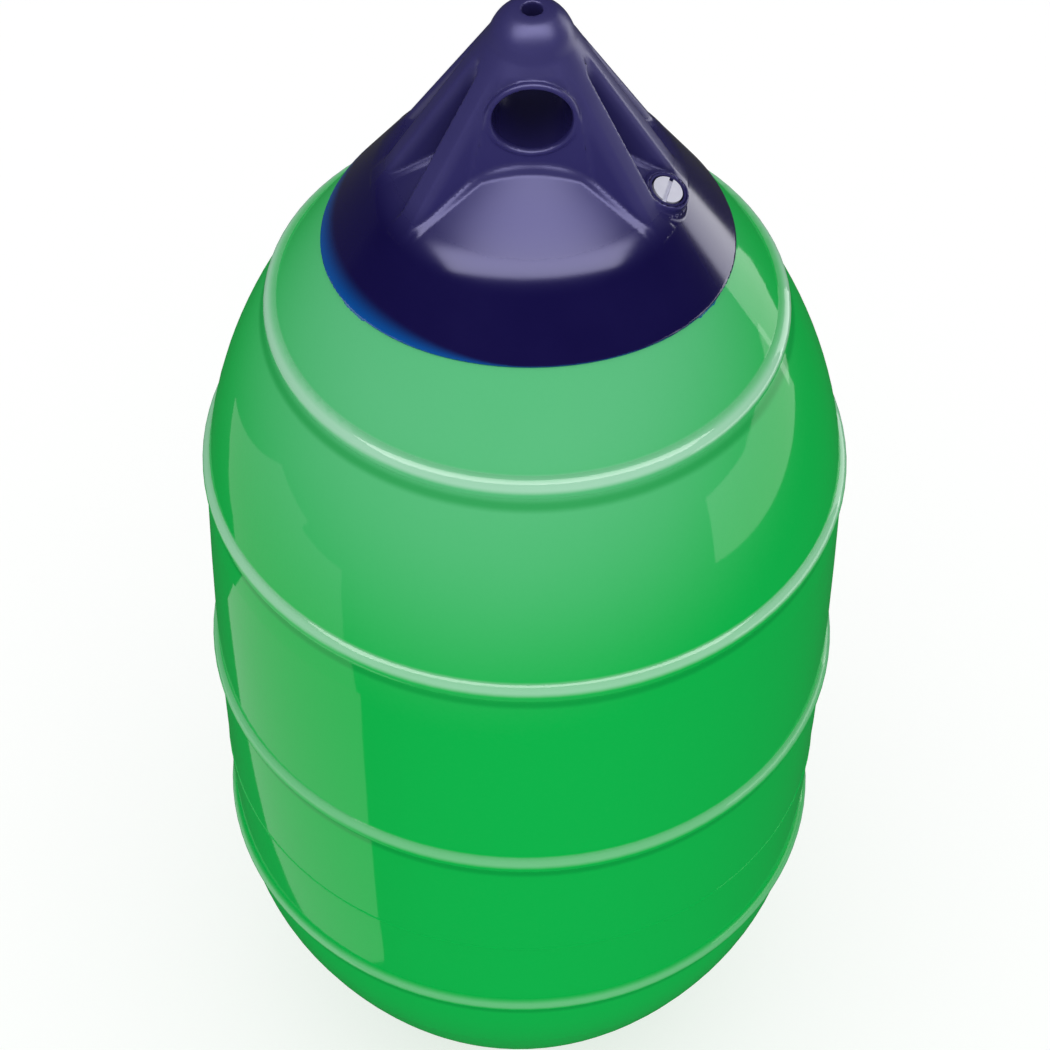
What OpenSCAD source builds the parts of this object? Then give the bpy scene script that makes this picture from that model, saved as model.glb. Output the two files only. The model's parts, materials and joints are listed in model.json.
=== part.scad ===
// Marker buoy: an inflated vinyl float with four moulded rings,
// a rope head bonded over its neck, and a screw-in air valve.
// The buoy stands upright along +Z, with the front of its rope eye
// towards -Y and the valve on its right.
// Heights are counted from the bottom of the float; stand() then
// lowers everything so that the waterline is at Z = 0.

/* [Float] */
// Height of the waterline above the bottom of the float
waterline = 100; // [20:1:300]
// Thickness of the vinyl skin
skin = 3; // [2:0.2:5]
// How far a moulded ring stands out of the skin
ring_proud = 3.3; // [1:0.1:5]
// Radius of a moulded ring's rounded section
ring_r = 7.6; // [6:0.1:10]
// Height of the mould's parting line
parting_h = 262; // [220:1:320]

/* [Rope head] */
// Thickness of the head's lap over the float's neck
lap = 4; // [3:0.2:5]
// Lowest height of the lap's edge, at the buoy's sides
lap_h = 673; // [665:1:680]
// Radius of the saddle curve that the lap's edge follows
lap_saddle_r = 650; // [500:10:1500]
// Radius of the rounded shoulder between cone and deck
shoulder_round = 10; // [4:1:16]
// Rise of the deck for each millimetre towards the tower
deck_slope = 0.57; // [0.5:0.01:0.7]
// Thickness of a web of the tower
web_t = 14; // [11:0.5:16]
// Radius of the tower's round neck, between the webs
neck_r = 27.5; // [24:0.1:28]
// Distance from the tower's centre to its front and back panels
panel_y = 28.7; // [26:0.1:32]
// Width of the foot step around the tower
step_w = 3; // [1:0.2:5]
// Height of the foot step above the deck
step_h = 2.5; // [1:0.1:4]
// Radius of the dome on top of the tower
dome_r = 22.4; // [22:0.1:24]

/* [Rope eye] */
// Radius of the rope eye
eye_r = 20.5; // [18:0.1:22]
// Height of the rope eye's centre
eye_h = 783.7; // [780:0.1:788]
// Radius of the rounded lip around the eye
eye_lip_r = 2; // [1:0.1:3]
// Radius of the hole in the dome
tip_hole_r = 5.4; // [3:0.1:8]
// Depth of the hole in the dome
tip_hole_depth = 16; // [8:1:20]

/* [Valve] */
// Direction of the valve, turned from the front towards the right
valve_turn = 72.5; // [70:0.5:76]
// Distance of the valve's mouth from the buoy's axis
valve_r = 75.5; // [72:0.5:78]
// Height of the valve's mouth
valve_h = 729.2; // [727:0.1:732]
// Angle of the valve's axis above the horizontal
valve_rise = 67; // [60:1:75]
// Radius of the plug's round head
plug_head_r = 8.3; // [7:0.1:9]
// Radius of the plug's shank
plug_shank_r = 6; // [5:0.1:6.5]
// Length of the whole plug
plug_l = 20; // [16:1:21]
// Angle of the screwdriver slot across the plug's head
slot_turn = 92; // [0:1:180]

/* [Hidden] */
$fn = 96;

green = [0.10, 0.69, 0.29];
navy = [0.15, 0.14, 0.37];
white = [0.86, 0.86, 0.90];
black = [0.08, 0.08, 0.09];

// The float's outline is one chain of arcs that run on smoothly from the
// bottom pole upwards. Columns: radius, and the angle of the outward
// normal above the horizontal where the arc starts and where it ends.
ARCS = [
    [164, -90, -33],
    [351, -33, -22],
    [194, -22, -2.2],
    [4500, -2.2, 1.35],
    [308, 1.35, 34.7],
];
// Heights of the four moulded rings
RINGS = [199, 351, 507, 628.5];
// The tower's webs on one side. Columns: direction, turned from the
// front, and how far the web's middle lies in front of the axis.
WEBS = [
    [61, 5],
    [90, 0],
    [119, -5],
];

// Centre of arc i: each centre lies on the line through the last joint
function arc_centre(i) = i == 0
    ? [0, ARCS[0][0]]
    : arc_centre(i - 1) + (ARCS[i - 1][0] - ARCS[i][0]) * normal(ARCS[i][1]);
function normal(a) = [cos(a), sin(a)];
// Point at normal angle a on arc i, moved inwards by depth
function arc_point(i, a, depth = 0) = arc_centre(i) + (ARCS[i][0] - depth) * normal(a);
// Normal angle at which arc i passes a height
function angle_at(i, h) = asin((h - arc_centre(i)[1]) / ARCS[i][0]);
function on_arc(i, h) = h >= joint_h(i) && h < joint_h(i + 1);
last = len(ARCS) - 1;
// Height of the joint below arc i, or above the last arc
function joint_h(i, depth = 0) = i > last
    ? arc_point(last, ARCS[last][2], depth)[1]
    : arc_point(i, ARCS[i][1], depth)[1];

// The neck is a cone that runs on from the last arc
cone_a = ARCS[last][2];
cone_foot = arc_point(last, cone_a);
shoulder_h = 721.7;
function cone_r(h, depth = 0) = cone_foot[0] - (h - cone_foot[1]) * tan(cone_a) - depth / cos(cone_a);
shoulder = [cone_r(shoulder_h), shoulder_h];
// The deck rises from the shoulder to the tower
deck_a = 90 - atan(deck_slope);
function deck_h(r) = shoulder[1] + (shoulder[0] - r) * deck_slope;
// Centre and touching points of the shoulder's rounding
round_centre = shoulder
    - shoulder_round / cos((deck_a - cone_a) / 2) * normal((deck_a + cone_a) / 2);

bond = 0.1;              // gap that the bond fills between head and skin
neck_top = 712;          // top of the float's closed neck
neck_plate = 4;          // thickness of the neck's closed top
reach = 700;             // larger than the float in every direction

// The tower fills a cone around the buoy's axis
tower_slope = 0.6;       // radius lost for each millimetre of height
tower_foot = [79.55, 720.8];
tower_low = 717;         // where the tower starts, inside the deck
pocket_top = 804;        // where the pockets between the webs end
dome_h = 812.3;          // height of the dome's centre
cone_top = 820;          // where the cone ends, inside the dome
dome_flat_h = 832.7;     // height of the flat around the hole in the dome
function tower_r(h) = tower_foot[0] - tower_slope * (h - tower_foot[1]);
panel_foot_x = 31.2;     // half width of the panels at the deck
panel_top_x = 20;        // and at the dome

// The valve, along its own axis with 0 at its mouth
boss_r = 12.7;
boss_rim_l = 3.5;
boss_neck_r = 11.8;
boss_l = 25;
boss_collar_r = 13.3;
boss_collar = [-11.5, -7];
seat_r = 10.6;
seat_top = -0.4;
seat_l = 22;
seat_mouth_r = 9.3;
seat_mouth_l = 6.4;
seat_bore_r = plug_shank_r + 0.3;
plug_head_l = 4.4;
slot_w = 2.2;
slot_l = 2;
seal_r = 7.3;
seal_section_r = 0.9;
air_way_r = 3;

module stand() {
    translate([0, 0, -waterline]) children();
}

// Moves to the valve's mouth, with +Z along its axis out of the buoy
module on_valve() {
    translate([valve_r * sin(valve_turn), -valve_r * cos(valve_turn), valve_h])
        rotate([0, 90 - valve_rise, valve_turn - 90])
            children();
}

// A cylinder on the valve's axis between two distances from its mouth
module valve_rod(r, from, to) {
    translate([0, 0, from]) cylinder(r = r, h = to - from);
}

// ---- float ----

// Half section of the float up to the cone, moved inwards by depth
module arcs_section(depth) {
    for (i = [0 : last]) {
        low = joint_h(i, depth);
        high = joint_h(i + 1, depth);
        intersection() {
            translate(arc_centre(i)) circle(r = ARCS[i][0] - depth, $fn = 720);
            polygon([[0, low], [reach, low], [reach, high], [0, high]]);
        }
    }
}

// A bead of radius r on the outline at height h, standing out by proud
module bead_section(h, r, proud) {
    for (i = [0 : last]) {
        if (on_arc(i, h)) {
            translate(arc_point(i, angle_at(i, h), r - proud)) circle(r = r, $fn = 64);
        }
    }
}

module outer_section() {
    arcs_section(0);
    for (h = RINGS) bead_section(h, ring_r, ring_proud);
    bead_section(parting_h, 1.5, 0.4);
    polygon([
        [0, cone_foot[1]],
        cone_foot,
        [cone_r(neck_top), neck_top],
        [0, neck_top],
    ]);
}

// The inside follows the skin, and the neck is thicker below the lap
module inner_section() {
    thick = skin + lap + bond;
    inner_foot = arc_point(last, cone_a, skin);
    arcs_section(skin);
    polygon([
        [0, inner_foot[1]],
        inner_foot,
        [cone_r(lap_h - 8, thick), lap_h - 8],
        [cone_r(neck_top - neck_plate, thick), neck_top - neck_plate],
        [0, neck_top - neck_plate],
    ]);
}

// Space above the lap's saddle-shaped edge
module above_lap_edge(gap) {
    translate([0, 0, lap_h + lap_saddle_r])
        rotate([0, 90, 0])
            cylinder(r = lap_saddle_r + gap, h = reach, center = true, $fn = 720);
}

// The recess in the neck that takes the head's lap
module lap_recess() {
    low = lap_h - 30;
    intersection() {
        above_lap_edge(bond);
        rotate_extrude()
            polygon([
                [cone_r(low, lap + bond), low],
                [cone_r(low, -10), low],
                [cone_r(neck_top + 1, -10), neck_top + 1],
                [cone_r(neck_top + 1, lap + bond), neck_top + 1],
            ]);
    }
}

module float_skin() {
    color(green) stand() difference() {
        rotate_extrude($fn = 144) difference() {
            outer_section();
            inner_section();
        }
        lap_recess();
        on_valve() valve_rod(boss_neck_r + bond, -60, 0);
    }
}

// ---- rope head ----

// Cone, rounded shoulder and deck, down to the float's neck
module head_section() {
    low = lap_h - 30;
    polygon([
        [0, neck_top],
        [cone_r(neck_top, lap), neck_top],
        [cone_r(low, lap), low],
        [cone_r(low), low],
        round_centre + shoulder_round * normal(cone_a),
        round_centre + shoulder_round * normal(deck_a),
        [0, deck_h(0)],
    ]);
    intersection() {
        translate(round_centre) circle(r = shoulder_round);
        polygon([
            round_centre,
            round_centre + 2 * shoulder_round * normal(cone_a),
            round_centre + 2 * shoulder_round * normal(deck_a),
        ]);
    }
}

module head_base() {
    intersection() {
        above_lap_edge(0);
        rotate_extrude($fn = 144) head_section();
    }
}

// Space inside the tower's cone
module tower_cone() {
    rotate_extrude($fn = 144)
        polygon([
            [0, tower_low],
            [tower_r(tower_low), tower_low],
            [tower_r(cone_top), cone_top],
            [0, cone_top],
        ]);
}

// The webs as plates, made thicker by a margin on both sides
module all_webs(margin) {
    t = web_t + 2 * margin;
    for (side = [0, 1], web = WEBS)
        mirror([side, 0, 0])
            rotate([0, 0, web[0] - 90])
                translate([0, -web[1] - t / 2, tower_low])
                    cube([tower_foot[0] + 10, t, dome_h - tower_low]);
}

// The flat front and back panels of the tower, which hold the rope eye
module panels(margin) {
    rotate([90, 0, 0])
        linear_extrude(height = 2 * (panel_y + margin), center = true)
            polygon([
                [-panel_foot_x - margin, tower_low],
                [panel_foot_x + margin, tower_low],
                [panel_top_x + margin, dome_h],
                [-panel_top_x - margin, dome_h],
            ]);
}

// Webs, panels and round neck, solid above the pockets
module tower() {
    intersection() {
        tower_cone();
        union() {
            all_webs(0);
            panels(0);
            translate([0, 0, tower_low]) cylinder(r = neck_r, h = dome_h - tower_low);
            translate([0, 0, pocket_top]) cylinder(r = 2 * neck_r, h = reach);
        }
    }
}

// The low step around the tower's foot, which rises with the deck
module foot_step() {
    intersection() {
        union() {
            panels(step_w);
            all_webs(step_w);
        }
        rotate_extrude($fn = 144)
            polygon([
                [0, tower_low],
                [shoulder[0] - 4, tower_low],
                [shoulder[0] - 4, deck_h(shoulder[0] - 4)],
                [panel_y, deck_h(panel_y) + step_h],
                [0, deck_h(0) + step_h],
            ]);
    }
}

// The dome, with a flat around its hole
module dome() {
    intersection() {
        translate([0, 0, dome_h]) sphere(r = dome_r);
        cylinder(r = reach, h = dome_flat_h);
    }
}

// The rounded lips of the rope eye, on the front and back panels
module eye_lips() {
    for (side = [-1, 1])
        translate([0, side * panel_y, eye_h])
            rotate([90, 0, 0])
                rotate_extrude() translate([eye_r + eye_lip_r * 0.8, 0]) circle(r = eye_lip_r, $fn = 32);
}

// The boss around the valve, which goes down through the neck
module valve_boss() {
    on_valve() {
        valve_rod(boss_neck_r, -boss_l, -1);
        valve_rod(boss_r, -boss_rim_l, -1);
        valve_rod(boss_r - 1, -boss_rim_l, 0);
        translate([0, 0, -1]) rotate_extrude() translate([boss_r - 1, 0]) circle(r = 1, $fn = 32);
        valve_rod(boss_collar_r, boss_collar[0], boss_collar[1]);
    }
}

module rope_head() {
    color(navy) stand() difference() {
        union() {
            head_base();
            tower();
            foot_step();
            dome();
            eye_lips();
            valve_boss();
        }
        translate([0, 0, eye_h]) rotate([90, 0, 0]) cylinder(r = eye_r, h = 4 * panel_y, center = true);
        translate([0, 0, dome_flat_h - tip_hole_depth]) cylinder(r = tip_hole_r, h = dome_r);
        on_valve() {
            valve_rod(seat_r + bond, seat_top - seat_l, 10);
            valve_rod(air_way_r, -boss_l - 1, 0);
        }
    }
}

// ---- valve ----

// Bush set into the boss: it takes the plug's head, shank and seal
module valve_seat() {
    color(navy) stand() on_valve() difference() {
        valve_rod(seat_r, seat_top - seat_l, seat_top);
        valve_rod(seat_mouth_r, -seat_mouth_l, 1);
        valve_rod(seat_bore_r, seat_top - seat_l - 1, 0);
    }
}

// Slotted screw plug, flush with the boss when it is closed
module valve_plug() {
    color(white) stand() on_valve() difference() {
        union() {
            valve_rod(plug_head_r, -plug_head_l, 0);
            valve_rod(plug_shank_r, -plug_l, -1);
        }
        rotate([0, 0, slot_turn])
            translate([-plug_head_r - 1, -slot_w / 2, -slot_l])
                cube([2 * plug_head_r + 2, slot_w, slot_l + 1]);
    }
}

// Rubber ring below the plug's head
module plug_seal() {
    color(black) stand() on_valve()
        translate([0, 0, -plug_head_l - seal_section_r - bond])
            rotate_extrude() translate([seal_r, 0]) circle(r = seal_section_r, $fn = 32);
}

float_skin();
rope_head();
valve_seat();
valve_plug();
plug_seal();
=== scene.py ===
# %% [markdown]
# # A marker buoy
#
# The object is an inflatable vinyl buoy about 0.8 m tall. A green float with
# four moulded rings carries a navy rope head with webs and a round eye, and a
# white screw plug closes the air valve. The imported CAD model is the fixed
# frame: it says where everything is. This lesson gives it its surfaces.

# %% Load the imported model
import json
import math

import bpy
import numpy as np
from mathutils import Matrix, Quaternion, Vector


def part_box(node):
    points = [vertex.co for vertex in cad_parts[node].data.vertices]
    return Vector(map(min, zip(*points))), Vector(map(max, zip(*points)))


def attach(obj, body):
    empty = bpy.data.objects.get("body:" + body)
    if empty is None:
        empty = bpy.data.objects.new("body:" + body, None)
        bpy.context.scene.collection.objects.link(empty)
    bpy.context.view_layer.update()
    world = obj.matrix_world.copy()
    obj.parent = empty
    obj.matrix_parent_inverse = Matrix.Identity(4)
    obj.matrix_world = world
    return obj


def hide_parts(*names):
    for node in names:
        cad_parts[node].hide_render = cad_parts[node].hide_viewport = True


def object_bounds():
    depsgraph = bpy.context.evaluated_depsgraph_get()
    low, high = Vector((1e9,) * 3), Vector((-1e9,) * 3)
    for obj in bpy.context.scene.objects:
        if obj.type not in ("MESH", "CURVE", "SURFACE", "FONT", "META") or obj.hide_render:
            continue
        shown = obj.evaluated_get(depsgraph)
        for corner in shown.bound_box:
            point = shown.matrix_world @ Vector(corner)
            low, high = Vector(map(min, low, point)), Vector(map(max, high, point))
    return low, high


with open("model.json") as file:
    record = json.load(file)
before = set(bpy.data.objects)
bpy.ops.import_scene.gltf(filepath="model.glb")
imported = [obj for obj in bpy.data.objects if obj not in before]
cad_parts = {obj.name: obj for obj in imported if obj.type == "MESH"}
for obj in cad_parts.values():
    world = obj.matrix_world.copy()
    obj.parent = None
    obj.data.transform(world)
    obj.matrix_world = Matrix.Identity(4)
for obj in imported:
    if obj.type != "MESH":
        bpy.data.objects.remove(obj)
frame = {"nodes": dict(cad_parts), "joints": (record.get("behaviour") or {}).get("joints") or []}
cad_box = [list(corner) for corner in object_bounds()]
nodes = frame["nodes"]
LOWEST = cad_box[0][2]
for name in nodes:
    low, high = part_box(name)
    print(f"{name:12s} from {[round(v, 4) for v in low]} to {[round(v, 4) for v in high]}")

# %% [markdown]
# ## Camera
# The buoy is seen from above and in front, so the round deck and the eye both
# show. A long lens keeps the perspective mild. The camera is built from the
# point it looks at, its direction and its distance, because those are the
# numbers that a camera is set up by.

# %% Place the camera
AIM = Vector((0.0009, 0.0, LOWEST + 0.4365))
CAMERA_AWAY = 1.9333
CAMERA_TURN = math.radians(2.0)
CAMERA_DOWN = math.radians(48.97)
CAMERA_ROLL = math.radians(1.0)
LENS = 111.43
SENSOR_W = 36.0

forward = Vector((
    math.sin(CAMERA_TURN) * math.cos(CAMERA_DOWN),
    math.cos(CAMERA_TURN) * math.cos(CAMERA_DOWN),
    -math.sin(CAMERA_DOWN),
))
level_right = Vector((math.cos(CAMERA_TURN), -math.sin(CAMERA_TURN), 0.0))
level_up = level_right.cross(forward)
right = level_right * math.cos(CAMERA_ROLL) + level_up * math.sin(CAMERA_ROLL)
up = right.cross(forward)

camera_data = bpy.data.cameras.new("camera")
camera_data.lens = LENS
camera_data.sensor_width = SENSOR_W
camera = bpy.data.objects.new("camera", camera_data)
bpy.context.scene.collection.objects.link(camera)
turned = Matrix((right, up, -forward)).transposed()
camera.matrix_world = Matrix.Translation(AIM - forward * CAMERA_AWAY) @ turned.to_4x4()
bpy.context.scene.camera = camera
print("camera at", [round(v, 3) for v in camera.matrix_world.translation])

# %% [markdown]
# ## Shader maths in plain Python
# A finish is a small sum: a noise here, a mask there. The class below wraps a
# node's output socket, so that `1 - mask * 0.4` adds the Math nodes itself.
# Colours go through Mix, because a Math node would turn them grey.

# %% Socket wrapper and material helper
class Flow:
    """An output socket, or a number, that Python's operators turn into nodes."""

    def __init__(self, tree, socket):
        self.tree = tree
        self.socket = socket

    def node(self, kind, settings=None, inputs=None, output=0):
        """Adds any node: first its settings, then the values or links of its sockets."""
        made = self.tree.nodes.new(kind)
        for key, value in (settings or {}).items():
            setattr(made, key, value)
        for key, value in (inputs or {}).items():
            if isinstance(value, Flow):
                self.tree.links.new(value.socket, made.inputs[key])
            else:
                made.inputs[key].default_value = value
        return Flow(self.tree, made.outputs[output])

    def maths(self, operation, *values):
        return self.node("ShaderNodeMath", {"operation": operation}, dict(enumerate(values)))

    def __add__(self, other): return self.maths("ADD", self, other)
    def __radd__(self, other): return self.maths("ADD", other, self)
    def __sub__(self, other): return self.maths("SUBTRACT", self, other)
    def __rsub__(self, other): return self.maths("SUBTRACT", other, self)
    def __mul__(self, other): return self.maths("MULTIPLY", self, other)
    def __rmul__(self, other): return self.maths("MULTIPLY", other, self)
    def __truediv__(self, other): return self.maths("DIVIDE", self, other)
    def __rtruediv__(self, other): return self.maths("DIVIDE", other, self)

    def between(self, low, high):
        """0 below low, 1 above high, and a smooth rise between them."""
        return self.node(
            "ShaderNodeMapRange",
            {"interpolation_type": "SMOOTHSTEP"},
            {"Value": self, "From Min": low, "From Max": high},
        )

    def part(self, axis):
        """The X, Y or Z part of a vector."""
        return self.node("ShaderNodeSeparateXYZ", inputs={"Vector": self}, output=axis)

    def noise(self, scale, detail):
        """Smooth noise from 0 to 1, with features of about 1 / scale metres."""
        inputs = {"Vector": self, "Scale": scale, "Detail": detail}
        return self.node("ShaderNodeTexNoise", inputs=inputs, output="Fac")

    def mix(self, low, high):
        """The colour low where this mask is 0 and high where it is 1."""
        inputs = {"Factor": self, "A": low, "B": high}
        made = self.tree.nodes.new("ShaderNodeMix")
        made.data_type = "RGBA"
        for key, value in inputs.items():
            socket = next(s for s in made.inputs if s.name == key and s.enabled)
            if isinstance(value, Flow):
                self.tree.links.new(value.socket, socket)
            else:
                socket.default_value = value
        return Flow(self.tree, next(s for s in made.outputs if s.enabled))


class Finish:
    """A material with one Principled shader, and Object coordinates to draw on."""

    def __init__(self, name, **constants):
        self.material = bpy.data.materials.new(name)
        self.material.use_nodes = True
        self.tree = self.material.node_tree
        self.shader = self.tree.nodes["Principled BSDF"]
        for key, value in constants.items():
            self.shader.inputs[key.replace("_", " ")].default_value = value
        start = Flow(self.tree, None)
        self.place = start.node("ShaderNodeTexCoord", output="Object")
        print(f"finish {name}")

    def set(self, name, flow):
        self.tree.links.new(flow.socket, self.shader.inputs[name])

    def bump(self, height, strength, depth):
        """Moves the surface's shading by height times depth metres."""
        inputs = {"Height": height, "Strength": strength, "Distance": depth}
        self.set("Normal", height.node("ShaderNodeBump", inputs=inputs))

    def cover(self, thing):
        thing.data.materials.clear()
        thing.data.materials.append(self.material)


def shade(red, green, blue):
    """A colour given as it looks on a screen, from 0 to 255, as the shader's linear values."""
    seen = np.array([red, green, blue]) / 255.0
    linear = np.where(seen <= 0.04045, seen / 12.92, ((seen + 0.055) / 1.055) ** 2.4)
    return (*[float(v) for v in linear], 1.0)

# %% [markdown]
# ## Float vinyl
# The float is soft green PVC. Its skin has a matt body under a sharp film, as
# vinyl has where it lay against a polished mould, so softboxes show as crisp
# patches while the colour below stays deep. A matt base layer with a coat over
# it gives this: one glossy layer alone would turn the whole float milky. Three
# things are painted into its colour: a paler upper front, which is a painted
# soft highlight of the front light; painted highlights along the crests of the
# rings; and a painted shade line under each ring. A fine grain and long
# shallow waves go into the bump.

# %% Float vinyl
FLOAT_DEEP = shade(12, 179, 74)
# A paler green painted on the upper front: a painted soft highlight of the front light.
FLOAT_PAINTED_HIGHLIGHT = shade(92, 190, 128)
# A pale green painted along the ring crests: a painted highlight.
RING_PAINTED_HIGHLIGHT = shade(186, 226, 204)
# A darker green for the painted shade line under each ring.
RING_SHADED = shade(4, 146, 60)
# The direction of the front light and the heights of the painted highlight on the upper front.
FRONT_LIGHT_X = -0.259
FRONT_LIGHT_Y = -0.966
HIGHLIGHT_LAG = 0.12
HIGHLIGHT_FROM = 0.46
HIGHLIGHT_TO = 0.655
SHADE_BELOW = 0.0090
# Each ring's height, the strength of its painted highlight, and how far above its middle that highlight
# sits
RINGS = [
    (0.1990, 0.35, 0.0020),
    (0.3510, 0.45, 0.0040),
    (0.5070, 0.80, 0.0042),
    (0.6285, 0.90, 0.0022),
]


def band(height, middle, inner, outer):
    """1 within inner metres of the height middle, falling to 0 at outer metres from it."""
    away = height - middle
    return 1.0 - away.maths("ABSOLUTE", away).between(inner, outer)


def painted_front_highlight(x, y, height):
    """The mask of a painted highlight: 1 high up, reaching lower on the side towards the front light.
    Facing is the cosine of the angle to that light's direction.
    """
    around = x * x + y * y
    facing = (y * FRONT_LIGHT_Y + x * FRONT_LIGHT_X) / around.maths("SQRT", around + 0.0001)
    return (height - (1.0 - facing) * HIGHLIGHT_LAG).between(HIGHLIGHT_FROM, HIGHLIGHT_TO)


def float_vinyl():
    finish = Finish("float_vinyl", Specular_IOR_Level=0.0, Coat_Roughness=0.05)
    clouds = finish.place.noise(9.0, 3.0)
    grain = finish.place.noise(420.0, 2.0)
    waves = finish.place.noise(11.0, 1.0)
    x, y, z = [finish.place.part(axis) for axis in "XYZ"]
    height = z - LOWEST
    # Painted soft highlight on the upper front, reaching lower towards the front light.
    front_highlight = painted_front_highlight(x, y, height) * (1.0 + (clouds - 0.5) * 0.2) + (grain - 0.5) * 0.05
    crest_highlight, ring_shade = 0.0, 0.0
    # Each ring gets a painted highlight on its crest and a painted shade line under it.
    for ring, highlight_strength, above in RINGS:
        crest_highlight = band(height, ring + above, 0.0008, 0.0045) * highlight_strength + crest_highlight
        ring_shade = band(height, ring - SHADE_BELOW, 0.0005, 0.0045) + ring_shade
    colour = front_highlight.mix(FLOAT_DEEP, FLOAT_PAINTED_HIGHLIGHT)
    # Painted shade line under each ring.
    colour = (ring_shade * 0.6).mix(colour, RING_SHADED)
    # Painted highlight along the ring crests.
    colour = (crest_highlight * (0.65 + clouds * 0.2)).mix(colour, RING_PAINTED_HIGHLIGHT)
    finish.set("Base Color", colour)
    finish.set("Roughness", 0.5 + clouds * 0.08)
    finish.set("Coat Weight", 0.42 + crest_highlight * 0.4)
    finish.bump(grain * 0.00006 + waves * 0.0012, 1.0, 1.0)
    return finish


float_vinyl().cover(nodes["float_skin"])

# %% [markdown]
# ## Head vinyl
# The rope head is a harder vinyl in navy blue, bonded over the float's neck.
# The deck and the tower are less glossy and are painted a lighter navy, which
# is a painted reflection; the inside of the eye keeps the plain navy. A brighter
# blue shows along the lap's edge, wider on the left. The distance to that edge
# comes from the same saddle curve as the edge itself, written as shader maths:
# a circle of SADDLE_R whose lowest point is at LAP_H.

# %% Head vinyl
MM = 0.001
LAP_H = 673.0 * MM
SADDLE_R = 650.0 * MM
EYE_H = 783.7 * MM
EYE_R = 20.5 * MM
# Heights over which the painted reflection on the deck and tower sets in.
TOWER_SHEEN_FROM = 712.0 * MM
TOWER_SHEEN_TO = 738.0 * MM
RIM_NARROW = 1.8 * MM
RIM_WIDER = 13.0 * MM
NAVY = shade(16, 10, 62), shade(22, 16, 72)
# A lighter navy painted on the deck and tower: a painted reflection.
NAVY_PAINTED_SHEEN = shade(44, 40, 98), shade(52, 48, 106)
RIM_BLUE = shade(0, 84, 165)


def head_vinyl():
    finish = Finish("head_vinyl", Specular_IOR_Level=0.5, Specular_Tint=(0.72, 0.70, 1.0, 1.0))
    clouds = finish.place.noise(30.0, 3.0)
    grain = finish.place.noise(1500.0, 2.0)
    x, y, z = [finish.place.part(axis) for axis in "XYZ"]
    height = z - LOWEST
    drop = height - (LAP_H + SADDLE_R)
    from_rim = SADDLE_R - (y * y + drop * drop).maths("SQRT", y * y + drop * drop)
    thin = (x * -9.0).between(0.0, 1.0) * RIM_WIDER + RIM_NARROW
    rim = 1.0 - (from_rim / thin).between(0.0, 1.0)
    from_eye = x * x + (height - EYE_H) * (height - EYE_H)
    outside_eye = from_eye.maths("SQRT", from_eye).between(EYE_R - MM, EYE_R + MM)
    # Painted reflection on the deck and tower outside the eye, where the vinyl is also less glossy.
    tower_sheen = height.between(TOWER_SHEEN_FROM, TOWER_SHEEN_TO) * outside_eye
    mottle = clouds * 0.7 + grain * 0.3
    colour = tower_sheen.mix(mottle.mix(*NAVY), mottle.mix(*NAVY_PAINTED_SHEEN))
    finish.set("Base Color", (rim * 0.9).mix(colour, RIM_BLUE))
    finish.set("Roughness", 0.11 + tower_sheen * 0.22 + clouds * 0.05 + grain * 0.03)
    finish.bump(grain * 0.000008, 1.0, 1.0)
    return finish


navy_vinyl = head_vinyl()
navy_vinyl.cover(nodes["rope_head"])
navy_vinyl.cover(nodes["valve_seat"])

# %% [markdown]
# ## Rope head: one soft form from distances
# The head is one moulding. Six webs run up a cone to a dome, a round eye goes
# through two flat panels, and every inside corner has a fillet, as the mould's
# maker needs so that hot vinyl fills it and comes out again. Bevelling such
# a form edge by edge is fragile. A distance function is easier: each simple
# solid says how far a point is outside it, `smooth_min` joins two solids with
# a fillet and `smooth_max` rounds the edge where one cuts the other.

# %% Joining distances
def smooth_max(a, b, k):
    """The larger of a and b, raised by (k - |a - b|)^2 / 4k where they differ by less than k."""
    near = np.maximum(k - np.abs(a - b), 0.0)
    return np.maximum(a, b) + near * near / (4.0 * k)


def smooth_min(a, b, k):
    """The smaller of a and b, lowered in the same way, which leaves a fillet."""
    return -smooth_max(-a, -b, k)


LAP = 4.0 * MM
CONE_SLOPE = math.radians(34.7)
CONE_FOOT = (128.30 * MM, 651.70 * MM)
SHOULDER_H = 721.7 * MM
SHOULDER_ROUND = 4.0 * MM
DECK_SLOPE = 0.57
NECK_TOP = 712.0 * MM
TOWER_FOOT = (79.55 * MM, 720.8 * MM)
TOWER_SLOPE = 0.6
TOWER_LOW = 717.0 * MM
WEBS = [(61.0, 5.0 * MM), (90.0, 0.0), (119.0, -5.0 * MM)]
WEB_T = 14.0 * MM
PANEL_Y = 28.7 * MM
PANEL_FOOT_X = 31.2 * MM
PANEL_TOP_X = 20.0 * MM
NECK_R = 27.5 * MM
POCKET_TOP = 804.0 * MM
DOME_H = 812.3 * MM
DOME_R = 22.4 * MM
DOME_FLAT_H = 832.7 * MM
TIP_HOLE_R = 5.4 * MM
TIP_HOLE_DEPTH = 16.0 * MM
STEP_W = 3.0 * MM
STEP_H = 2.5 * MM
STEP_FADE = 30.0 * MM
LIP_R = 1.9 * MM

RIM_R = 12.4 * MM
RIM_DEPTH = 10.0 * MM
COLLAR_R = 13.6 * MM
COLLAR_TOP = 6.4 * MM
COLLAR_FOOT = 14.0 * MM
BOSS_R = 11.8 * MM
BOSS_DEPTH = 25.0 * MM
MOUTH_R = 10.7 * MM
MOUTH_DEPTH = 3.0 * MM
BORE_R = 9.8 * MM
BORE_DEPTH = 22.4 * MM
PASSAGE_R = 3.0 * MM

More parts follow.
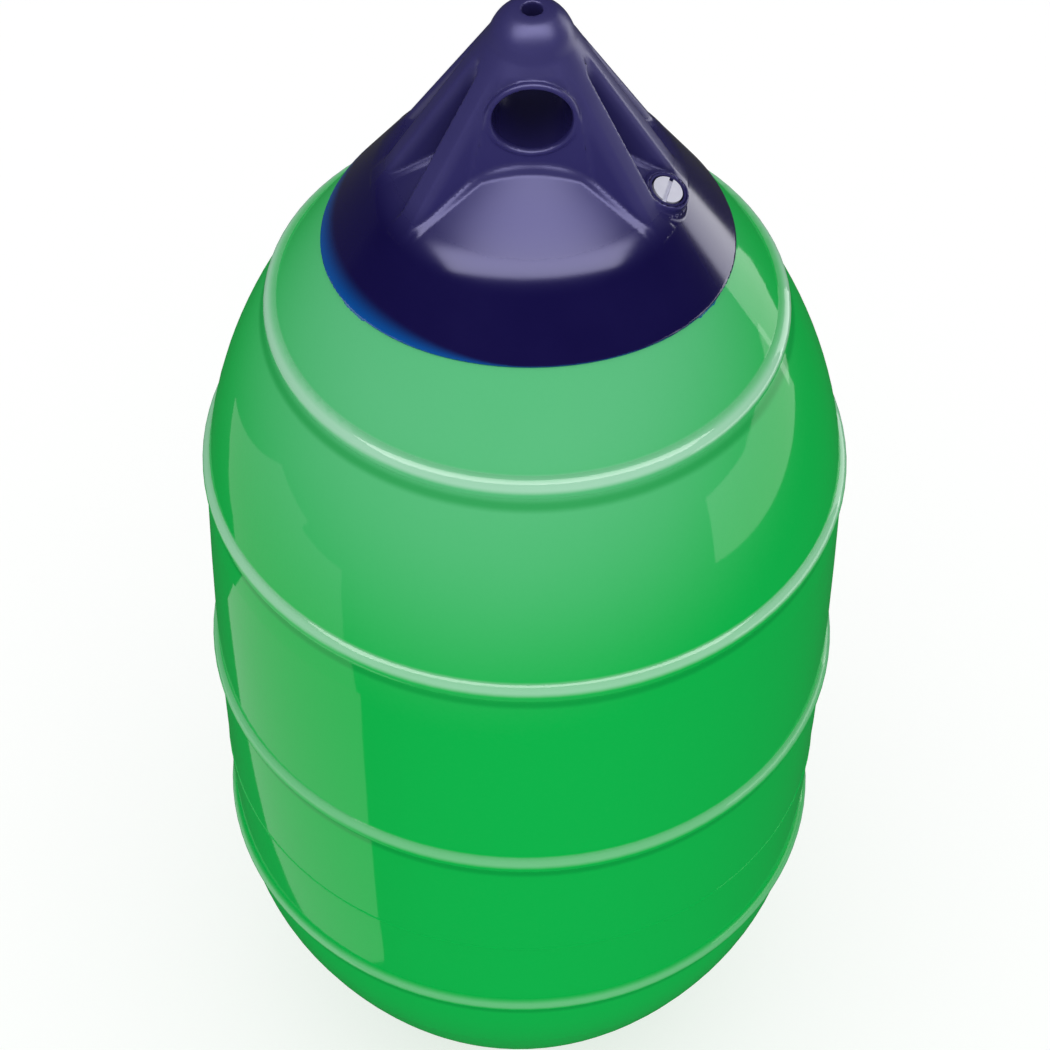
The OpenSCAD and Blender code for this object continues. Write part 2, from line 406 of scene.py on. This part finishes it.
joint = next(j for j in frame["joints"] if j["name"] == "plug_turn")
VALVE_MOUTH = np.array(joint["pos_m"]) - (0.0, 0.0, LOWEST)
VALVE_AXIS = np.array(joint["axis"]) / np.linalg.norm(joint["axis"])
print("valve mouth", VALVE_MOUTH.round(4), "axis", VALVE_AXIS.round(3))

# %% [markdown]
# The parts below take x, y and the height h above the buoy's lowest point.
# A cone's distance is its radius error times the cosine of its slope, and
# a plate's is the distance from its middle plane less half its thickness.
# Where solids join or cut, the last number is the rounding. The mesh's cells
# are 1.5 mm, so most edges that show are rounded by that much or more.

# %% The head's solids as distances
def cone_r(h):
    """The cone's radius: at its foot, less the height above the foot times the slope's tangent."""
    return CONE_FOOT[0] - (h - CONE_FOOT[1]) * math.tan(CONE_SLOPE)


def deck_h(r):
    """The deck's height: at the shoulder, plus the way in from there times DECK_SLOPE."""
    return SHOULDER_H + (cone_r(SHOULDER_H) - r) * DECK_SLOPE


def outer_distance(x, y, h):
    """Cone and deck, with a rounded shoulder where they meet."""
    r = np.hypot(x, y)
    cone = (r - cone_r(h)) * math.cos(CONE_SLOPE)
    deck = (h - deck_h(r)) * math.cos(math.atan(DECK_SLOPE))
    return smooth_max(cone, deck, SHOULDER_ROUND), cone


def base_distance(x, y, h):
    """The outside, hollow below and cut along the lap's saddle edge."""
    outside, cone = outer_distance(x, y, h)
    below_lap = np.hypot(y, h - LAP_H - SADDLE_R) - SADDLE_R
    hollow = np.maximum(cone + LAP, h - NECK_TOP)
    return smooth_max(smooth_max(outside, below_lap, 2.8 * MM), -hollow, 0.8 * MM)


def web_distance(x, y, margin):
    """The six webs as plates. Also gives how far the nearest one's point lies to its front."""
    across = np.abs(x)
    nearest, front = None, None
    for turn, ahead in WEBS:
        a = math.radians(turn)
        along = across * math.sin(a) - y * math.cos(a)
        aside = -across * math.cos(a) - y * math.sin(a) - ahead
        web = np.maximum(np.abs(aside) - WEB_T / 2 - margin, -along)
        front = aside if front is None else np.where(web < nearest, aside, front)
        nearest = web if nearest is None else smooth_min(nearest, web, 3.0 * MM)
    return nearest, front


def panel_distance(x, y, h, margin):
    """The block between the front and back panels, whose sides lean inwards."""
    lean = (PANEL_FOOT_X - PANEL_TOP_X) / (DOME_H - TOWER_LOW)
    side = np.abs(x) - PANEL_FOOT_X + (h - TOWER_LOW) * lean
    return np.maximum(side, np.abs(y) - PANEL_Y) - margin


def tower_distance(x, y, h):
    """Webs, panels and round neck inside a cone, solid above the pockets, with the dome on top."""
    r = np.hypot(x, y)
    envelope = (r - TOWER_FOOT[0] + TOWER_SLOPE * (h - TOWER_FOOT[1])) / math.hypot(1.0, TOWER_SLOPE)
    webs, front = web_distance(x, y, 0.0)
    inner = smooth_min(panel_distance(x, y, h, 0.0), r - NECK_R, 3.0 * MM)
    inside = smooth_min(webs, inner, 7.0 * MM)
    inside = smooth_min(inside, POCKET_TOP - h, 5.0 * MM)
    edge = (3.6 + 2.2 * np.clip(front / (WEB_T / 2), -1.0, 1.0)) * MM
    tower = np.maximum(smooth_max(envelope, inside, edge), TOWER_LOW - h)
    tower = smooth_max(tower, h - DOME_H - 8.0 * MM, 1.0 * MM)
    dome = np.sqrt(r * r + (h - DOME_H) ** 2) - DOME_R
    dome = smooth_max(dome, h - DOME_FLAT_H, 2.0 * MM)
    return smooth_min(tower, dome, 1.6 * MM)


def step_distance(x, y, h):
    """The low step around the tower's foot. Its height, square to the deck, is 0.87 of STEP_H
    times rise, which falls to 0 at the shoulder and then faster, so that it sinks into the deck."""
    r = np.hypot(x, y)
    plan = np.minimum(web_distance(x, y, STEP_W)[0], panel_distance(x, y, h, STEP_W))
    rise = (cone_r(SHOULDER_H) - SHOULDER_ROUND - r) / STEP_FADE
    rise = np.clip(np.minimum(rise, 3.0 * rise), -0.9, 1.0)
    top = outer_distance(x, y, h)[0] - STEP_H * 0.87 * rise
    return smooth_max(plan, top, 2.4 * MM)


def valve_distance(x, y, h):
    """The boss around the valve and the bore for its seat, as rounds about the valve's axis."""
    offset = [value - place for value, place in zip((x, y, h), VALVE_MOUTH)]
    depth = sum(part * along for part, along in zip(offset, VALVE_AXIS))
    r = np.sqrt(np.maximum(sum(part * part for part in offset) - depth * depth, 0.0))
    rim = np.maximum(r - RIM_R, -depth - RIM_DEPTH)
    core = np.maximum(r - BOSS_R, -depth - BOSS_DEPTH)
    collar = np.maximum(r - COLLAR_R, np.maximum(depth + COLLAR_TOP, -depth - COLLAR_FOOT))
    boss = smooth_min(rim, smooth_min(core, collar, 1.4 * MM), 1.6 * MM)
    boss = smooth_max(boss, depth, 1.6 * MM)
    bore = np.maximum(r - MOUTH_R, -depth - MOUTH_DEPTH)
    bore = np.minimum(bore, np.maximum(r - BORE_R, -depth - BORE_DEPTH))
    bore = np.minimum(bore, r - PASSAGE_R)
    return boss, bore


def head_distance(x, y, h):
    """The whole rope head: base, tower, step and boss joined, then eye, tip hole and bore cut."""
    boss, bore = valve_distance(x, y, h)
    head = smooth_min(base_distance(x, y, h), tower_distance(x, y, h), 2.4 * MM)
    head = smooth_min(head, step_distance(x, y, h), 1.8 * MM)
    head = smooth_min(head, boss, 3.0 * MM)
    from_eye = np.hypot(x, h - EYE_H)
    lip = np.hypot(from_eye - EYE_R - LIP_R, np.abs(y) - PANEL_Y) - LIP_R
    head = smooth_min(head, lip, 1.4 * MM)
    head = smooth_max(head, EYE_R - from_eye, 1.6 * MM)
    from_tip = np.maximum(np.hypot(x, y) - TIP_HOLE_R, DOME_FLAT_H - TIP_HOLE_DEPTH - h)
    head = smooth_max(head, -from_tip, 1.4 * MM)
    return smooth_max(head, -bore, 0.7 * MM)

# %% [markdown]
# A grid of points cuts space into small cubes. Wherever the distance changes
# sign between a cube's corners, the surface passes through it, so the cube
# gets one vertex, and every grid edge that crosses the surface gets one
# four-sided face from the cubes around it. Then each vertex slides along the
# distance's slope until its distance is zero, and the same slope is its
# normal. All of it is arithmetic on whole arrays.

# %% From distance to mesh
SETTLING_STEPS = 8
FLATTEST = 0.05     # least squared slope, where two fillets meet and the distance is nearly level


def slope(distance, points, reach=0.02 * MM):
    """Distance and its gradient at each point, from differences along x, y and z."""
    value = distance(*points.T)
    steps = np.eye(3) * reach
    rise = [distance(*(points + step).T) - distance(*(points - step).T) for step in steps]
    return value, np.stack(rise, axis=1) / (2 * reach)


def surface_net(distance, low, high, cell):
    """Vertices, four-sided faces and normals of the surface where the distance is zero."""
    axes = [np.arange(a, b + cell, cell) for a, b in zip(low, high)]
    inside = distance(*np.meshgrid(*axes, indexing="ij")) < 0
    corners = [inside[i:i - 1 or None, j:j - 1 or None, k:k - 1 or None]
               for i in (0, 1) for j in (0, 1) for k in (0, 1)]
    filled = sum(corner.astype(np.int8) for corner in corners)
    mixed = (filled > 0) & (filled < 8)
    number = np.full(mixed.shape, -1)
    number[mixed] = np.arange(mixed.sum())
    points = np.argwhere(mixed) * cell + cell / 2 + np.array(low)
    faces = []
    for axis in range(3):
        first, second = [(axis + 1) % 3, (axis + 2) % 3]
        here = np.moveaxis(inside, (axis, first, second), (0, 1, 2))
        cells = np.moveaxis(number, (axis, first, second), (0, 1, 2))
        before, after = here[:-1, 1:-1, 1:-1], here[1:, 1:-1, 1:-1]
        around = [cells[:, :-1, :-1], cells[:, 1:, :-1], cells[:, 1:, 1:], cells[:, :-1, 1:]]
        for crossing, order in ((before & ~after, (0, 1, 2, 3)), (~before & after, (3, 2, 1, 0))):
            faces.append(np.stack([around[k][crossing] for k in order], axis=1))
    faces = np.concatenate(faces)
    for _ in range(SETTLING_STEPS):
        value, gradient = slope(distance, points)
        size = np.maximum((gradient ** 2).sum(axis=1), FLATTEST)
        move = np.clip(value / size, -cell / 2, cell / 2)
        points = points - gradient * move[:, None]
    value, gradient = slope(distance, points)
    furthest = np.abs(value).max() / MM
    print(f"surface net: {len(points)} vertices, {len(faces)} faces, furthest {furthest:.3f} mm off")
    return points, faces, gradient / np.linalg.norm(gradient, axis=1)[:, None]


def make_mesh(name, points, faces, normals=None):
    """A new object from arrays of vertices and faces, with smooth shading."""
    mesh = bpy.data.meshes.new(name)
    mesh.from_pydata(points.tolist(), [], faces.tolist())
    mesh.shade_smooth()
    if normals is not None:
        mesh.normals_split_custom_set_from_vertices(normals.tolist())
    piece = bpy.data.objects.new(name, mesh)
    bpy.context.scene.collection.objects.link(piece)
    return piece

# %% Make the rope head
HEAD_CELL = 1.5 * MM
HEAD_REACH = 116.0 * MM
HEAD_MARGIN = 2.0 * MM
head_points, head_faces, head_normals = surface_net(
    head_distance,
    (-HEAD_REACH, -HEAD_REACH, LAP_H - HEAD_MARGIN),
    (HEAD_REACH, HEAD_REACH, DOME_FLAT_H + HEAD_MARGIN),
    HEAD_CELL,
)
head = make_mesh("moulded_head", head_points + (0.0, 0.0, LOWEST), head_faces, head_normals)
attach(head, "buoy")
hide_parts("rope_head")
navy_vinyl.cover(head)

# %% [markdown]
# ## Valve plug and seal
# The plug is turned or moulded from white nylon, which is slightly waxy, and
# the ring under it is black rubber. Both are small and plain, so the packed
# solids are used as they are, and each gets a finish with a faint mottle.

# %% Plug nylon and seal rubber
def plug_nylon():
    finish = Finish("plug_nylon", Roughness=0.32)
    clouds = finish.place.noise(220.0, 3.0)
    finish.set("Base Color", clouds.mix(shade(205, 205, 222), shade(222, 222, 236)))
    return finish


def seal_rubber():
    finish = Finish("seal_rubber", Roughness=0.6)
    clouds = finish.place.noise(900.0, 2.0)
    finish.set("Base Color", clouds.mix(shade(24, 24, 26), shade(34, 34, 36)))
    return finish

plug_nylon().cover(nodes["valve_plug"])
seal_rubber().cover(nodes["plug_seal"])

# %% [markdown]
# ## Floor, backdrop and light
# The studio is plain: a pale floor at the buoy's lowest point, an even soft
# light from all around, and softboxes. The floor glows and the room is at full
# strength for the camera, and for rays through glass, so that they read as
# white while the floor keeps its soft shadow. Diffuse rays see part of the
# floor's glow, which lights the buoy from below. Mirror rays see both much
# dimmed, because the vinyl keeps its deep colour only where it mirrors
# something darker than itself. A real studio would use black cloths for that.

# %% Floor and room
def seen_as_white(tree, mirrored):
    """1 for camera and transmission rays and the mirrored share for glossy rays."""
    start = Flow(tree, None)
    rays = {name: start.node("ShaderNodeLightPath", output=name)
            for name in ("Is Camera Ray", "Is Glossy Ray", "Is Transmission Ray")}
    through = rays["Is Camera Ray"].maths("MAXIMUM", rays["Is Camera Ray"], rays["Is Transmission Ray"])
    return through.maths("MAXIMUM", through, rays["Is Glossy Ray"] * mirrored), rays["Is Glossy Ray"]


FLOOR_HALF = 30.0
FLOOR_GREY = 0.45
FLOOR_GLOW = 0.62
FLOOR_BOUNCE = 0.6
MIRRORED = 0.06
floor_corners = np.array([(-1, -1), (1, -1), (1, 1), (-1, 1)]) * FLOOR_HALF
floor = make_mesh(
    "floor",
    np.column_stack([floor_corners, np.full(4, LOWEST - 0.0002)]),
    np.array([[0, 1, 2, 3]]),
)
floor_finish = Finish("floor_paint", Roughness=0.9, Specular_IOR_Level=0.0)
floor_finish.shader.inputs["Emission Color"].default_value = (1.0, 1.0, 1.0, 1.0)
floor_seen, mirror = seen_as_white(floor_finish.tree, MIRRORED)
bounced = floor_seen.node("ShaderNodeLightPath", output="Is Diffuse Ray") * FLOOR_BOUNCE
floor_finish.set("Emission Strength", floor_seen.maths("MAXIMUM", floor_seen, bounced) * FLOOR_GLOW)
grey, dim = [(*[v] * 3, 1.0) for v in (FLOOR_GREY, FLOOR_GREY * MIRRORED)]
floor_finish.set("Base Color", mirror.mix(grey, dim))
floor_finish.cover(floor)

ROOM_LIGHT = 0.80
ROOM_MIRRORED = 0.015
world = bpy.data.worlds.new("studio")
bpy.context.scene.world = world
world.use_nodes = True
background = world.node_tree.nodes["Background"]
background.inputs["Color"].default_value = (1.0, 1.0, 1.0, 1.0)
room_seen, mirror = seen_as_white(world.node_tree, ROOM_MIRRORED)
room = ROOM_LIGHT * (1.0 - mirror) * (1.0 - room_seen) + room_seen
world.node_tree.links.new(room.socket, background.inputs["Strength"])

# %% [markdown]
# A softbox is set by where it stands and by its radiance, which is the
# brightness that the vinyl mirrors. Some are only for the gloss and some
# only for the skin below it, so that a sharp patch can be placed without
# washing out the colour around it. The first two lie on the floor as white
# boards do, and their patches run up the left of the float.

# %% Softboxes
def softbox(name, centre, size, radiance, aim, seen_by, spin=0.0):
    """A soft panel at centre, facing aim and turned by spin. Heights are above the floor."""
    data = bpy.data.lights.new(name, "AREA")
    data.shape = "RECTANGLE"
    data.size, data.size_y = size
    data.energy = radiance * math.pi * size[0] * size[1]
    lamp = bpy.data.objects.new(name, data)
    bpy.context.scene.collection.objects.link(lamp)
    lamp.location = Vector(centre) + Vector((0.0, 0.0, LOWEST))
    facing = Vector(aim) - Vector(centre)
    turn = facing.to_track_quat("-Z", "Y") @ Quaternion((0.0, 0.0, 1.0), math.radians(spin))
    lamp.rotation_euler = turn.to_euler()
    lamp.visible_camera = False
    lamp.visible_glossy = seen_by == "gloss"
    lamp.visible_diffuse = seen_by == "skin"
    print(f"softbox {name}: radiance {radiance}, {size[0]} m by {size[1]} m, for the {seen_by}")


BOARD_SPIN = -26.0
# Name, centre, size, radiance, aim, what it lights, and spin
SOFTBOXES = [
    ("left_board", (-0.889, -0.281, 0.004), (1.3, 0.5), 0.94, (-0.889, -0.281, 1.0), "gloss", BOARD_SPIN),
    ("left_far_board", (-1.35, 0.08, 0.004), (1.3, 0.6), 0.94, (-1.35, 0.08, 1.0), "gloss", BOARD_SPIN),
    ("right_strip", (1.5, 1.0, 0.75), (0.8, 1.3), 3.2, (0.0, 0.82, 0.75), "gloss"),
    ("right_card", (1.3, -0.05, 0.28), (1.3, 0.36), 2.4, (0.0, 0.1, 0.4), "gloss"),
    ("top_box", (0.05, -0.79, 2.5), (4.6, 1.32), 7.2, (0.0, 0.0, 0.7), "gloss"),
    ("front_fill", (0.0, -2.4, 0.55), (5.0, 1.2), 0.95, (0.0, 0.0, 0.45), "skin"),
    ("top_fill", (0.0, -0.6, 2.6), (2.0, 1.6), 0.6, (0.0, 0.0, 0.45), "skin"),
]
for row in SOFTBOXES:
    softbox(*row)

# %% Set the view transform
bpy.context.scene.view_settings.view_transform = "Standard"
